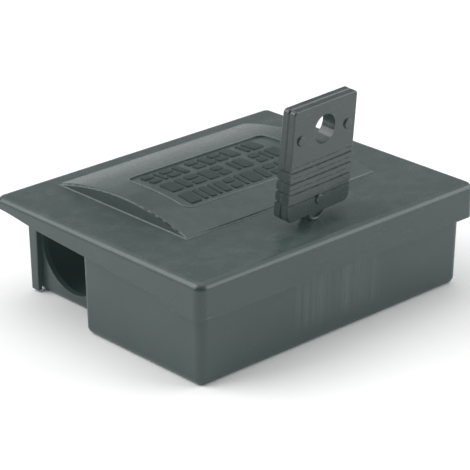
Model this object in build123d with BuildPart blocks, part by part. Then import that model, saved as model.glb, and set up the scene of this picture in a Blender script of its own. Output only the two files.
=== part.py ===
from build123d import *
import os
from math import cos, radians, sin, tan

# Mouse bait station, in millimetres: a drafted tray with an entry recess at each end, an overhanging
# lid hinged along the back, a push lock opened by a plate key, and the bait inside.
# +X runs along the long side, +Y to the hinge at the back and +Z up. The origin is the middle of the
# lid's footprint, on the surface that the tray stands on.

# ---- overall ----
lid_length = 130.0  # along X
lid_width = 105.0  # along Y
lid_top = 38.3  # height of the lid's flat top
moving_gap = 0.3  # between pieces that move past each other
pin_clearance = 0.06  # radial, between a pin or stem and the bore that it turns or slides in
rest_gap = 0.1  # between faces that stop just short of each other at the end of a motion
cut_over = 1.0  # how far a cut runs past what it cuts

# ---- lid ----
lid_plate = 2.0  # thickness of the top
skirt_wall = 1.8
skirt_front = 12.6  # depth of the skirt along the front, below the lid's top
skirt_back = 4.2  # depth of the skirt along the back
lid_corner_r = 3.4
lid_edge_r = 2.7
skirt_step = 11.5  # from the lid's front to where the end skirts begin to rise
skirt_slope_start = 23.0  # from the front to where their long gentle slope begins
skirt_slope_depth = 9.7  # skirt depth there
skirt_slope_end = 25.0  # from the lid's back to where the slope ends
skirt_tail_depth = 6.3  # skirt depth there
skirt_flat = 1.5  # from the back to where the back depth is reached

# ---- raised arch on the lid ----
arch_from_left = 22.5  # from the lid's edges
arch_from_right = 19.5
arch_from_front = 31.0
arch_from_back = 8.2
arch_rise = 5.2
arch_step = 0.5  # upright part of that rise, along the front and back
arch_step_r = 0.3
arch_edge_r = 0.7
panel_from_left = 12.5  # sunk panel, from the arch's edges
panel_from_right = 11.5
panel_from_front = 13.0
panel_from_back = 20.8
panel_sink = 0.5
panel_corner_r = 3.0

# ---- tray ----
skirt_gap = 1.2  # between the lid's skirt and the tray's rim
draft = 1.4  # degrees, on every outer wall
tray_wall = 2.0
tray_floor = 2.0
tray_corner_r = 3.6
tray_edge_r = 2.6  # along the bottom
entry_depth = 10.9  # how far the entry wall is set in from the tray's end
entry_length = 39.5  # of the entry recess, from the tray's back
entry_corner_r = 3.0
entry_hole_r = 15.8
entry_hole_from_back = 21.0
entry_hole_z = 20.1
jamb_stand = 2.4  # post beside the entry, out from the entry wall
jamb_root = 1.0  # of the post, inside the entry wall
jamb_length = 5.1  # from the tray's back
jamb_lift = 0.8  # underside of the post above the ground
jamb_r = 0.6
baffle_wall = 2.0
baffle_drop = 4.5  # top of the baffles below the rim
doorway = 40.0  # gap between the two baffles
fixing_hole_r = 2.1
fixing_spacing = 60.0

# ---- hinge ----
knuckle_r = 2.3
hinge_pin_r = 1.0
pin_bevel = 0.2
hinge_from_end = 19.1  # middle of each hinge, from the entry wall
hinge_out = 0.4  # hinge axis behind the tray's rim
lid_knuckle = 7.0  # along X
tray_knuckle = 5.0
knuckle_gap = 0.4
gusset = 6.0  # height of the web under each tray knuckle

# ---- lock ----
key_from_front = 16.5  # where the key's middle plane meets the lid's top
lock_travel = 2.4  # of the plunger, and of the bolt that it wedges back
plunger_behind = 0.6  # the key leans, so the plunger sits a little behind it
keyhole_r = 3.1
plunger_r = 3.6
plunger_floor = 0.9  # under the slot for the key's blade
plunger_slot = 3.1  # along Y
foot_half = 2.3  # half the square foot of the plunger
foot_gap = 0.4  # in front of the plunger's foot, in the bolt
collar_wall = 1.9
bolt_half_width = 4.8
bolt_thick = 3.0
bolt_length = 17.0
bolt_drop = 10.9  # underside of the bolt below the lid's top
bolt_nose_gap = 0.6  # from the drawn-back bolt to the tray's front wall
bolt_nose_bevel = 1.0
window_gap = 0.5  # round the bolt, in the tray's front wall
wedge_gap = 0.15  # along Y, between the plunger's wedge and the bolt's
rail_wall = 1.6
housing_wall = 1.6  # behind the lock spring
spring_room = 5.4  # length of the compressed spring
spring_r = 1.3
spring_wire_r = 0.25
spring_turns = 5
cover_thick = 1.6
boss_r = 2.6
boss_x = 10.4
boss_behind = 3.0  # behind the key
screw_r = 0.95
screw_head_r = 1.9
screw_head = 1.1
screw_bite = 6.0  # screw length in the boss
screw_gap = 0.05
screw_drive = 0.6  # width of the cross recess
screw_drive_long = 3.0  # its length

# ---- key ----
key_lean = 5.5  # degrees, forward at the top
key_turn = 3.8  # degrees, its right side backwards, as it was left in the lock
key_width = 31.2
key_foot = 3.3  # lower edge above the lid, along the key
key_head = 43.3  # upper edge above the lid, along the key
key_half_foot = 3.2  # thickness of each half shell at its lower edge
key_half_head = 2.6  # and at its upper edge
key_head_r = 1.4
key_foot_r = 2.8
key_edge_r = 0.5
seam = 0.45  # chamfer along the joint of the two halves
ring_hole_r = 5.2
ring_hole_from_head = 9.7
groove_first = 10.2  # lowest groove above the lid, along the key
groove_pitch = 3.9
groove_count = 4
groove_width = 0.8
groove_depth = 0.5
groove_sag = 0.5
fine_groove_width = 0.4
fine_groove_depth = 0.2
fine_groove_drop = 1.9  # below each groove
side_notch = 0.8
tongue_r = 4.3
tongue_at = 4.35  # centre of the tongue's arc above the lid
tongue_half = 2.4
tongue_rim = 0.9
tongue_sink = 0.5
blade_width = 4.4
blade_half = 1.0
blade_reach = 6.2  # below the lid's top
peg_r = 1.3
peg_head_r = 1.8
peg_head = 0.8
peg_sink = 0.25  # counterbore under each peg's head
peg_gap = 0.05
peg_from_side = 4.1  # of the two upper pegs, from the key's sides
peg_below_hole = 1.2  # of the two upper pegs, below the ring hole's middle
peg_lower = 8.2

# ---- bait ----
side_run = 7.0  # free width between the blocks and the tray's end wall
dish_side_run = 7.8  # free width between the dish and the blocks
dish_front_run = 4.3  # between the dish and the tray's front wall
gallery = 16.8  # between the dish and the baffles
dish_lift = 8.0  # room to lift the dish under the lock
dish_lift_gap = 1.2  # left over then, under the lock's screws
dish_wall = 1.4
dish_corner_r = 5.0
dish_draft = 4.0
dish_lip = 1.2
dish_divider = 1.2
stop_height = 1.6  # ribs on the tray's floor that locate the dish
stop_wall = 1.2
stop_gap = 0.5
rod_r = 1.2
rod_front_run = 2.5  # from the front wall to the front fork's middle
rod_back_run = 6.0  # from the back fork's middle to the baffle
rod_upstand = 6.0
rod_bend_r = 2.5
fork_wall = 2.4
fork_width = 6.0
fork_tip = 3.2  # fork above the rod's middle
rod_gap = 0.1  # radial, round the rod in its forks and blocks
block_width = 22.0
block_clear = 7.0  # above and below each block, inside the tray
block_gap = 1.2  # between the two blocks of a rod
block_end_gap = 2.7  # between a block and the fork
block_groove = 1.4
block_bevel = 0.6

# ---- places that follow from the sizes above ----
lid_under = lid_top - lid_plate
rim_x = lid_length / 2 - skirt_wall - skirt_gap
rim_y = lid_width / 2 - skirt_wall - skirt_gap
tray_height = lid_under - moving_gap
entry_x = rim_x - entry_depth
entry_front_y = rim_y - entry_length
entry_hole_y = rim_y - entry_hole_from_back
jamb_front_y = rim_y - jamb_length
fixing_y = entry_hole_y
skirt_step_y = skirt_step - lid_width / 2
skirt_slope_y = skirt_slope_start - lid_width / 2
skirt_tail_y = lid_width / 2 - skirt_slope_end
skirt_flat_y = lid_width / 2 - skirt_flat
skirt_slope = (skirt_slope_depth - skirt_tail_depth) / (skirt_tail_y - skirt_slope_y)
hinge_x = entry_x - hinge_from_end
hinge_y = rim_y + hinge_out
hinge_z = lid_top - skirt_back - knuckle_r - moving_gap
notch = lid_knuckle + 2 * knuckle_gap
arch_left = arch_from_left - lid_length / 2
arch_right = lid_length / 2 - arch_from_right
arch_front_y = arch_from_front - lid_width / 2
arch_back_y = lid_width / 2 - arch_from_back
panel_left = arch_left + panel_from_left
panel_right = arch_right - panel_from_right
panel_front_y = arch_front_y + panel_from_front
panel_back_y = arch_back_y - panel_from_back
arch_chord = arch_back_y - arch_front_y
arch_bow = arch_rise - arch_step
arch_r = (arch_chord**2 / 4 + arch_bow**2) / (2 * arch_bow)
arch_y = (arch_front_y + arch_back_y) / 2
arch_z = lid_top + arch_rise - arch_r  # axis of the arch's cylinder
bolt_low = lid_top - bolt_drop
bolt_high = bolt_low + bolt_thick
wall_lean = tan(radians(draft))
bolt_tip_y = -(rim_y - tray_wall) + wall_lean * (tray_height - bolt_low) + bolt_nose_gap
bolt_tail_y = bolt_tip_y + bolt_length
housing_back_y = bolt_tail_y + spring_room
rail_in = bolt_half_width + moving_gap
rail_out = rail_in + rail_wall
foot_low = bolt_low - rest_gap
cover_top = foot_low - moving_gap - rest_gap
stem_low = bolt_high + moving_gap
collar_low = stem_low + moving_gap
plunger_top = lid_under - rest_gap - lock_travel
key_y = key_from_front - lid_width / 2
plunger_y = key_y + plunger_behind
boss_y = key_y + boss_behind
wedge_y = plunger_y + foot_half - bolt_high  # the plunger's wedge face is at y = z + wedge_y
ring_hole_at = key_head - ring_hole_from_head
groove_levels = [groove_first + groove_pitch * step for step in range(groove_count)]
peg_upper = ring_hole_at - peg_below_hole
peg_spread = key_width / 2 - peg_from_side
peg_places = ((-peg_spread, peg_upper), (peg_spread, peg_upper), (0, peg_lower))
rod_x = rim_x - tray_wall - side_run - block_width / 2
rod_z = (tray_height + tray_floor) / 2
rod_front_y = rod_front_run + tray_wall - rim_y
rod_back_y = entry_front_y - baffle_wall - rod_back_run
block_height = tray_height - tray_floor - 2 * block_clear
fork_room = rod_back_y - rod_front_y - fork_wall
block_length = (fork_room - block_gap) / 2 - block_end_gap
dish_length = 2 * (rod_x - block_width / 2 - dish_side_run - dish_lip)
dish_front_y = dish_front_run + tray_wall - rim_y
dish_back_y = entry_front_y - baffle_wall - gallery
dish_width = dish_back_y - dish_front_y - 2 * dish_lip
dish_y = (dish_front_y + dish_back_y) / 2
dish_height = cover_top - cover_thick - screw_head - dish_lift_gap - dish_lift - tray_floor
dish_foot_x = dish_length / 2 - dish_height * tan(radians(dish_draft))
dish_foot_y = dish_width / 2 - dish_height * tan(radians(dish_draft))
block_y = (rod_front_y + rod_back_y) / 2
block_step = block_length + block_gap
rim_plane = Plane.XY.offset(tray_height)
lid_plane = Plane.XY.offset(lid_top)
key_plane = Plane(
    origin=(0, key_y, lid_top),
    x_dir=(cos(radians(key_turn)), sin(radians(key_turn)), 0),
    z_dir=(
        sin(radians(key_turn)) * cos(radians(key_lean)),
        -cos(radians(key_turn)) * cos(radians(key_lean)),
        -sin(radians(key_lean)),
    ),
)

os.makedirs("parts", exist_ok=True)


def save(builder, name):
    """Labels a finished piece and writes it."""
    builder.part.label = name
    export_step(builder.part, f"parts/{name}.step")


# ---- tray: one moulding with its baffles, rod forks, dish stops and hinge knuckles ----
def draw_tray_plan(plan):
    """Outline at the rim: a wide front block, and a narrower back between the entry recesses."""
    with Locations((0, -rim_y)):
        Rectangle(2 * rim_x, rim_y + entry_front_y, align=(Align.CENTER, Align.MIN))
    fillet(plan.vertices().group_by(Axis.Y)[0], tray_corner_r)
    fillet(plan.vertices().group_by(Axis.Y)[-1], entry_corner_r)
    with Locations((0, rim_y)):
        Rectangle(2 * entry_x, rim_y, align=(Align.CENTER, Align.MAX))
    fillet(plan.vertices().group_by(Axis.Y)[-1], entry_corner_r)


with BuildPart() as tray_shell:
    with BuildSketch(rim_plane) as plan:
        draw_tray_plan(plan)
    extrude(amount=-tray_height, taper=draft)
    fillet(tray_shell.faces().sort_by(Axis.Z)[0].edges(), tray_edge_r)
    with BuildSketch(rim_plane) as plan:
        draw_tray_plan(plan)
        offset(amount=-tray_wall, mode=Mode.REPLACE)
    extrude(amount=tray_floor - tray_height, taper=draft, mode=Mode.SUBTRACT)
    # posts beside the entries
    with BuildSketch(rim_plane):
        for side in (-1, 1):
            jamb_x = entry_x + (jamb_stand - jamb_root) / 2
            with Locations((side * jamb_x, (jamb_front_y + rim_y) / 2)):
                RectangleRounded(jamb_stand + jamb_root, jamb_length, jamb_r)
    extrude(amount=jamb_lift - tray_height, taper=draft)
    # entries, open to the rim
    entry_cut = tray_wall + wall_lean * tray_height + 2 * cut_over
    for low_x in (-entry_x - cut_over, entry_x + cut_over - entry_cut):
        with BuildSketch(Plane.YZ.offset(low_x)):
            with Locations((entry_hole_y, entry_hole_z)):
                Circle(entry_hole_r)
                Rectangle(2 * entry_hole_r, tray_height, align=(Align.CENTER, Align.MIN))
        extrude(amount=entry_cut, mode=Mode.SUBTRACT)
    # baffles between the run along the back and the bait chamber
    with BuildSketch(Plane.XY.offset(tray_floor / 2)):
        for side in (-1, 1):
            low = doorway / 2
            high = entry_x - tray_wall / 2
            with Locations((side * (low + high) / 2, entry_front_y - tray_wall / 2)):
                Rectangle(high - low, baffle_wall)
            with Locations((side * low, entry_front_y - tray_wall / 2)):
                Circle(baffle_wall)
    extrude(amount=tray_height - baffle_drop - tray_floor / 2)
    # forks that carry the two bait rods
    for fork_y in (rod_front_y, rod_back_y):
        with BuildSketch(Plane.XZ.offset(-fork_y - fork_wall / 2)):
            for side in (-1, 1):
                with Locations((side * rod_x, tray_floor / 2)):
                    fork_height = rod_z + fork_tip - tray_floor / 2
                    Rectangle(fork_width, fork_height, align=(Align.CENTER, Align.MIN))
                with Locations((side * rod_x, rod_z)):
                    Circle(rod_r + rod_gap, mode=Mode.SUBTRACT)
                    Rectangle(
                        2 * (rod_r + rod_gap),
                        fork_tip,
                        align=(Align.CENTER, Align.MIN),
                        mode=Mode.SUBTRACT,
                    )
        extrude(amount=fork_wall)
    # ribs that locate the bait dish
    with BuildSketch(Plane.XY.offset(tray_floor / 2)):
        with Locations((0, dish_y)):
            stop_x = 2 * (dish_foot_x + stop_gap)
            stop_y = 2 * (dish_foot_y + stop_gap)
            RectangleRounded(stop_x + 2 * stop_wall, stop_y + 2 * stop_wall, dish_corner_r)
            RectangleRounded(stop_x, stop_y, dish_corner_r - stop_wall, mode=Mode.SUBTRACT)
    extrude(amount=tray_floor / 2 + stop_height)
    # fixing holes through the floor
    with BuildSketch(Plane.XY):
        with Locations((-fixing_spacing / 2, fixing_y), (fixing_spacing / 2, fixing_y)):
            Circle(fixing_hole_r)
    extrude(amount=tray_floor, mode=Mode.SUBTRACT)
    # window in the front wall for the lock's bolt
    with BuildSketch(Plane.XZ.offset(rim_y - tray_wall - cut_over)):
        with Locations((0, (bolt_low + bolt_high) / 2)):
            Rectangle(2 * (bolt_half_width + window_gap), bolt_thick + 2 * window_gap)
    extrude(amount=tray_wall + 2 * cut_over, mode=Mode.SUBTRACT)
    # hinge knuckles, two at each hinge, with the wall notched between them
    for middle in (-hinge_x, hinge_x):
        with BuildSketch(Plane.YZ.offset(middle - notch / 2)):
            with Locations((rim_y, tray_height)):
                notch_depth = tray_height - hinge_z + knuckle_r + knuckle_gap
                Rectangle(4 * tray_wall, notch_depth, align=(Align.CENTER, Align.MAX))
        extrude(amount=notch, mode=Mode.SUBTRACT)
        for low_x in (middle - notch / 2 - tray_knuckle, middle + notch / 2):
            with BuildSketch(Plane.YZ.offset(low_x)):
                with Locations((hinge_y, hinge_z)):
                    Circle(knuckle_r)
                with BuildLine():
                    Polyline(
                        (rim_y - tray_wall / 2, hinge_z),
                        (hinge_y + knuckle_r, hinge_z),
                        (rim_y - tray_wall / 2, hinge_z - gusset),
                        close=True,
                    )
                make_face()
            extrude(amount=tray_knuckle)
        with BuildSketch(Plane.YZ.offset(middle - notch / 2 - tray_knuckle)):
            with Locations((hinge_y, hinge_z)):
                Circle(hinge_pin_r)
        extrude(amount=notch + 2 * tray_knuckle, mode=Mode.SUBTRACT)
save(tray_shell, "tray_shell")

# ---- lid: one moulding with its arch, lock housing and hinge knuckles ----
with BuildPart() as panel_cutter:
    with BuildSketch(lid_plane):
        with Locations(((panel_left + panel_right) / 2, (panel_front_y + panel_back_y) / 2)):
            RectangleRounded(
                panel_right - panel_left, panel_back_y - panel_front_y, panel_corner_r
            )
    extrude(amount=2 * arch_rise)
    with BuildSketch(Plane.YZ.offset(panel_left)):
        with Locations((arch_y, arch_z)):
            Circle(arch_r - panel_sink)
    extrude(amount=panel_right - panel_left, mode=Mode.SUBTRACT)


def draw_arch(radius, low, width):
    """Section of the arch down to the height low, held to a width."""
    with Locations((arch_y, arch_z)):
        Circle(radius)
    with Locations((arch_y, low)):
        Rectangle(width, radius, align=(Align.CENTER, Align.MIN), mode=Mode.INTERSECT)


with BuildPart() as arch_block:
    with BuildSketch(Plane.YZ.offset(arch_left)):
        draw_arch(arch_r, lid_top - lid_plate / 2, arch_chord)
    extrude(amount=arch_right - arch_left)
    fillet(arch_block.edges().filter_by(Axis.X).group_by(Axis.Z)[-1], arch_step_r)
    end_faces = arch_block.faces().filter_by(Axis.X)
    crown_edges = end_faces.edges().filter_by(GeomType.CIRCLE)
    fillet(crown_edges.filter_by(lambda edge: edge.length > arch_chord / 2), arch_edge_r)

with BuildPart() as lid_shell:
    with BuildSketch(lid_plane):
        RectangleRounded(lid_length, lid_width, lid_corner_r)
    extrude(amount=-skirt_front)
    fillet(lid_shell.faces().sort_by(Axis.Z)[-1].edges(), lid_edge_r)
    with BuildSketch(lid_plane.offset(-lid_plate)):
        RectangleRounded(
            lid_length - 2 * skirt_wall,
            lid_width - 2 * skirt_wall,
            lid_corner_r - skirt_wall,
        )
    extrude(amount=-skirt_front, mode=Mode.SUBTRACT)
    # the end skirts rise towards the back, so that the lid can swing past the tray
    with BuildSketch(Plane.YZ.offset(-lid_length)):
        with BuildLine():
            rise = Spline(
                (skirt_step_y, lid_top - skirt_front),
                (skirt_slope_y, lid_top - skirt_slope_depth),
                tangents=((1, 0), (1, skirt_slope)),
            )
            slope = Line(rise @ 1, (skirt_tail_y, lid_top - skirt_tail_depth))
            tail = Spline(
                slope @ 1,
                (skirt_flat_y, lid_top - skirt_back),
                tangents=((1, skirt_slope), (1, 0)),
            )
            Polyline(
                tail @ 1,
                (lid_width, lid_top - skirt_back),
                (lid_width, 0),
                (skirt_step_y, 0),
                rise @ 0,
            )
        make_face()
    extrude(amount=2 * lid_length, mode=Mode.SUBTRACT)
    # arch, hollow underneath, with its sunk panel
    add(arch_block)
    with BuildSketch(Plane.YZ.offset(arch_left + lid_plate)):
        draw_arch(arch_r - lid_plate, lid_under - cut_over, arch_chord - 2 * lid_plate)
    extrude(amount=arch_right - arch_left - 2 * lid_plate, mode=Mode.SUBTRACT)
    add(panel_cutter, mode=Mode.SUBTRACT)
    # lock housing: collar, rails, spring seat and screw bosses
    with BuildSketch(Plane.XY.offset(lid_under + lid_plate / 2)):
        with Locations((0, plunger_y)):
            Circle(plunger_r + collar_wall)
    extrude(amount=collar_low - lid_under - lid_plate / 2)
    with BuildSketch(Plane.XY.offset(lid_under + lid_plate / 2)):
        rail_front_y = bolt_tip_y + moving_gap
        rail_length = housing_back_y + housing_wall - rail_front_y
        for side in (-1, 1):
            with Locations((side * (rail_in + rail_wall / 2), rail_front_y)):
                Rectangle(rail_wall, rail_length, align=(Align.CENTER, Align.MIN))
            with Locations((side * boss_x, boss_y)):
                Circle(boss_r)
            with Locations((side * (rail_in + boss_x) / 2 + side * rail_wall / 2, boss_y)):
                Rectangle(boss_x - rail_in - rail_wall, rail_wall)
        with Locations((0, housing_back_y + housing_wall / 2)):
            Rectangle(2 * rail_out, housing_wall)
    extrude(amount=cover_top - lid_under - lid_plate / 2)
    with BuildSketch(Plane.XY.offset(cover_top)):
        with Locations((-boss_x, boss_y), (boss_x, boss_y)):
            Circle(screw_r + screw_gap)
    extrude(amount=screw_bite + cut_over, mode=Mode.SUBTRACT)
    with BuildSketch(Plane.XY.offset(collar_low)):
        with Locations((0, plunger_y)):
            Circle(plunger_r + pin_clearance)
    extrude(amount=lid_under - collar_low, mode=Mode.SUBTRACT)
    with BuildSketch(Plane.XY.offset(collar_low)):
        with Locations((0, plunger_y)):
            Circle(keyhole_r)
    extrude(amount=lid_top - collar_low, mode=Mode.SUBTRACT)
    # hinge knuckles, one at each hinge
    for middle in (-hinge_x, hinge_x):
        with BuildSketch(Plane.YZ.offset(middle - lid_knuckle / 2)):
            with Locations((hinge_y, hinge_z)):
                Circle(knuckle_r)
                Rectangle(
                    2 * knuckle_r,
                    lid_under + lid_plate / 2 - hinge_z,
                    align=(Align.CENTER, Align.MIN),
                )
        extrude(amount=lid_knuckle)
        with BuildSketch(Plane.YZ.offset(middle - lid_knuckle / 2)):
            with Locations((hinge_y, hinge_z)):
                Circle(hinge_pin_r + pin_clearance)
        extrude(amount=lid_knuckle, mode=Mode.SUBTRACT)
save(lid_shell, "lid_shell")

# ---- hinge pins ----
for middle, side_name in ((-hinge_x, "left"), (hinge_x, "right")):
    with BuildPart() as hinge_pin:
        with BuildSketch(Plane.YZ.offset(middle - notch / 2 - tray_knuckle)):
            with Locations((hinge_y, hinge_z)):
                Circle(hinge_pin_r)
        extrude(amount=notch + 2 * tray_knuckle)
        chamfer(hinge_pin.faces().filter_by(Axis.X).edges(), pin_bevel)
    save(hinge_pin, f"hinge_pin_{side_name}")

# ---- lock ----
with BuildPart() as lock_bolt:
    with BuildSketch(Plane.XY.offset(bolt_low)):
        with Locations((0, bolt_tip_y)):
            Rectangle(2 * bolt_half_width, bolt_length, align=(Align.CENTER, Align.MIN))
    extrude(amount=bolt_thick)
    nose = lock_bolt.faces().sort_by(Axis.Y)[0]
    chamfer(nose.edges().sort_by(Axis.Z)[0], bolt_nose_bevel)
    slot_half = foot_half + moving_gap
    with BuildSketch(Plane.YZ.offset(-slot_half)):
        with BuildLine():
            Polyline(
                (plunger_y - foot_half - foot_gap, bolt_low),
                (bolt_low + wedge_y + wedge_gap, bolt_low),
                (bolt_high + wedge_y + wedge_gap, bolt_high),
                (plunger_y - foot_half - foot_gap, bolt_high),
                close=True,
            )
        make_face()
    extrude(amount=2 * slot_half, mode=Mode.SUBTRACT)
save(lock_bolt, "lock_bolt")

with BuildPart() as lock_plunger:
    with BuildSketch(Plane.XY.offset(stem_low)):
        with Locations((0, plunger_y)):
            Circle(plunger_r)
    extrude(amount=plunger_top - stem_low)
    chamfer(lock_plunger.faces().sort_by(Axis.Z)[-1].edges(), pin_bevel)
    with BuildSketch(Plane.XY.offset(stem_low + plunger_floor)):
        with Locations((0, plunger_y)):
            Rectangle(blade_width + 2 * moving_gap, plunger_slot, rotation=key_turn)
    extrude(amount=plunger_top, mode=Mode.SUBTRACT)
    with BuildSketch(Plane.YZ.offset(-foot_half)):
        with BuildLine():
            Polyline(
                (plunger_y - foot_half, foot_low),
                (foot_low + wedge_y, foot_low),
                (bolt_high + wedge_y, bolt_high),
                (plunger_y + foot_half, stem_low + plunger_floor / 2),
                (plunger_y - foot_half, stem_low + plunger_floor / 2),
                close=True,
            )
        make_face()
    extrude(amount=2 * foot_half)
save(lock_plunger, "lock_plunger")

with BuildPart() as lock_spring:
    coil_length = spring_room - 2 * spring_wire_r - moving_gap
    with BuildLine():
        turns = Helix(
            pitch=coil_length / spring_turns,
            height=coil_length,
            radius=spring_r,
            center=(0, housing_back_y - spring_wire_r - coil_length, (bolt_low + bolt_high) / 2),
            direction=(0, 1, 0),
        )
    with BuildSketch(Plane(origin=turns @ 0, z_dir=turns % 0)):
        Circle(spring_wire_r)
    sweep(is_frenet=True)
save(lock_spring, "lock_spring")

with BuildPart() as lock_cover:
    with BuildSketch(Plane.XY.offset(cover_top)):
        cover_front_y = bolt_tip_y + moving_gap
        with Locations((0, cover_front_y)):
            Rectangle(
                2 * rail_out,
                housing_back_y + housing_wall - cover_front_y,
                align=(Align.CENTER, Align.MIN),
            )
        with Locations((0, boss_y)):
            SlotCenterToCenter(2 * boss_x, 2 * boss_r)
    extrude(amount=-cover_thick)
    with BuildSketch(Plane.XY.offset(cover_top)):
        with Locations((-boss_x, boss_y), (boss_x, boss_y)):
            Circle(screw_r + screw_gap)
    extrude(amount=-cover_thick, mode=Mode.SUBTRACT)
save(lock_cover, "lock_cover")

with BuildPart() as lock_screws:
    for side in (-1, 1):
        with BuildSketch(Plane.XY.offset(cover_top - cover_thick)):
            with Locations((side * boss_x, boss_y)):
                Circle(screw_r)
        extrude(amount=cover_thick + screw_bite)
        with BuildSketch(Plane.XY.offset(cover_top - cover_thick)):
            with Locations((side * boss_x, boss_y)):
                Circle(screw_head_r)
        extrude(amount=-screw_head)
        with BuildSketch(Plane.XY.offset(cover_top - cover_thick - screw_head)):
            with Locations((side * boss_x, boss_y)):
                Rectangle(screw_drive_long, screw_drive)
                Rectangle(screw_drive, screw_drive_long)
        extrude(amount=screw_head / 2, mode=Mode.SUBTRACT)
save(lock_screws, "lock_screws")


# ---- key: two half shells held by three pegs ----
def key_half(level):
    """Thickness of a half shell at a height along the key."""
    share = (level - key_foot) / (key_head - key_foot)
    return key_half_foot + (key_half_head - key_half_foot) * share


def cut_groove(side, level, width, depth):
    """A shallow groove across the face, sagging a little in the middle."""
    with BuildSketch(key_plane.offset(side * (key_half(level) - depth))) as groove:
        with BuildLine():
            edges = []
            for at in (level - width / 2, level + width / 2):
                edges.append(
                    ThreePointArc((-key_width, at), (0, at - groove_sag), (key_width, at))
                )
            Line(edges[0] @ 0, edges[1] @ 0)
            Line(edges[0] @ 1, edges[1] @ 1)
        make_face()
    extrude(groove.sketch, amount=side * 2 * depth, mode=Mode.SUBTRACT)


def key_shell(side):
    """Half of the key: side is 1 at the front and -1 at the back."""
    with BuildPart() as half:
        with BuildSketch(key_plane) as face:
            with Locations((0, key_foot)):
                Rectangle(key_width, key_head - key_foot, align=(Align.CENTER, Align.MIN))
            fillet(face.vertices().group_by(Axis.Y)[-1], key_head_r)
            fillet(face.vertices().group_by(Axis.Y)[0], key_foot_r)
        extrude(amount=side * key_half_foot)
        # the outer face slopes in towards the head
        side_plane = Plane(
            origin=key_plane.origin - key_width * key_plane.x_dir,
            x_dir=key_plane.y_dir,
            z_dir=key_plane.x_dir,
        )
        flip = side * (key_plane.z_dir.dot(side_plane.y_dir))
        with BuildSketch(side_plane):
            with BuildLine():
                Polyline(
                    (key_foot - cut_over, flip * key_half(key_foot - cut_over)),
                    (key_head + cut_over, flip * key_half(key_head + cut_over)),
                    (key_head + cut_over, flip * 2 * key_half_foot),
                    (key_foot - cut_over, flip * 2 * key_half_foot),
                    close=True,
                )
            make_face()
        extrude(amount=2 * key_width, mode=Mode.SUBTRACT)
        outward = Axis(key_plane.origin, side * key_plane.z_dir)
        outer = half.faces().sort_by(outward)[-1]
        inner = half.faces().sort_by(outward)[0]
        fillet(outer.edges(), key_edge_r)
        chamfer(inner.edges(), seam)
        # ring hole
        with BuildSketch(key_plane):
            with Locations((0, ring_hole_at)):
                Circle(ring_hole_r)
        extrude(amount=side * 2 * key_half_foot, mode=Mode.SUBTRACT)
        # grip grooves, which notch the sides too
        for level in groove_levels:
            cut_groove(side, level, groove_width, groove_depth)
            with BuildSketch(key_plane):
                for edge in (-1, 1):
                    with Locations((edge * key_width / 2, level)):
                        Rectangle(2 * side_notch, groove_width)
            extrude(amount=side * 2 * key_half_foot, mode=Mode.SUBTRACT)
        for level in groove_levels[1:]:
            cut_groove(side, level + fine_groove_drop, fine_groove_width, fine_groove_depth)
        # tongue with its rim, and the blade below it
        with BuildSketch(key_plane):
            with Locations((0, tongue_at)):
                Circle(tongue_r)
            with Locations((0, key_foot + key_foot_r)):
                Rectangle(3 * tongue_r, 3 * tongue_r, align=(Align.CENTER, Align.MIN), mode=Mode.SUBTRACT)
        extrude(amount=side * tongue_half)
        with BuildSketch(key_plane.offset(side * (tongue_half - tongue_sink))):
            with Locations((0, tongue_at)):
                Circle(tongue_r - tongue_rim)
            with Locations((0, key_foot - tongue_rim)):
                Rectangle(3 * tongue_r, 3 * tongue_r, align=(Align.CENTER, Align.MIN), mode=Mode.SUBTRACT)
        extrude(amount=side * tongue_sink, mode=Mode.SUBTRACT)
        with BuildSketch(key_plane):
            with Locations((0, -blade_reach)):
                Rectangle(blade_width, blade_reach + tongue_at, align=(Align.CENTER, Align.MIN))
        extrude(amount=side * blade_half)
        # holes for the pegs, counterbored in the front half for their heads
        with BuildSketch(key_plane):
            with Locations(*peg_places):
                Circle(peg_r + peg_gap)
        extrude(amount=side * 2 * key_half_foot, mode=Mode.SUBTRACT)
        for place in peg_places:
            with BuildSketch(key_plane.offset(side * (key_half(place[1]) - peg_sink))):
                with Locations(place):
                    Circle(peg_head_r + peg_gap)
            extrude(amount=side * 2 * peg_sink, mode=Mode.SUBTRACT)
    return half


save(key_shell(1), "key_front_half")
save(key_shell(-1), "key_back_half")

for place, place_name in zip(peg_places, ("left", "right", "lower")):
    with BuildPart() as key_peg:
        seat = key_half(place[1]) - peg_sink
        with BuildSketch(key_plane):
            with Locations(place):
                Circle(peg_r)
        extrude(amount=seat, both=True)
        with BuildSketch(key_plane.offset(seat), key_plane.offset(-seat - peg_head)):
            with Locations(place):
                Circle(peg_head_r)
        extrude(amount=peg_head)
        faces = key_peg.faces().sort_by(Axis(key_plane.origin, key_plane.z_dir))
        fillet(faces[0].edges(), peg_head / 2)
        fillet(faces[-1].edges(), peg_head / 2)
    save(key_peg, f"key_peg_{place_name}")

# ---- bait dish ----
with BuildPart() as bait_dish:
    dish_rim = Plane.XY.offset(tray_floor + dish_height)
    with BuildSketch(dish_rim):
        with Locations((0, dish_y)):
            RectangleRounded(dish_length, dish_width, dish_corner_r)
    extrude(amount=-dish_height, taper=dish_draft)
    fillet(bait_dish.faces().sort_by(Axis.Z)[0].edges(), dish_wall)
    with BuildSketch(dish_rim):
        with Locations((0, dish_y)):
            RectangleRounded(
                dish_length + 2 * dish_lip, dish_width + 2 * dish_lip, dish_corner_r + dish_lip
            )
    extrude(amount=-dish_lip)
    with BuildSketch(dish_rim):
        with Locations((0, dish_y)):
            RectangleRounded(
                dish_length - 2 * dish_wall, dish_width - 2 * dish_wall, dish_corner_r - dish_wall
            )
            Rectangle(dish_divider, dish_width, mode=Mode.SUBTRACT)
    extrude(amount=dish_wall - dish_height, taper=dish_draft, mode=Mode.SUBTRACT)
save(bait_dish, "bait_dish")

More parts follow.
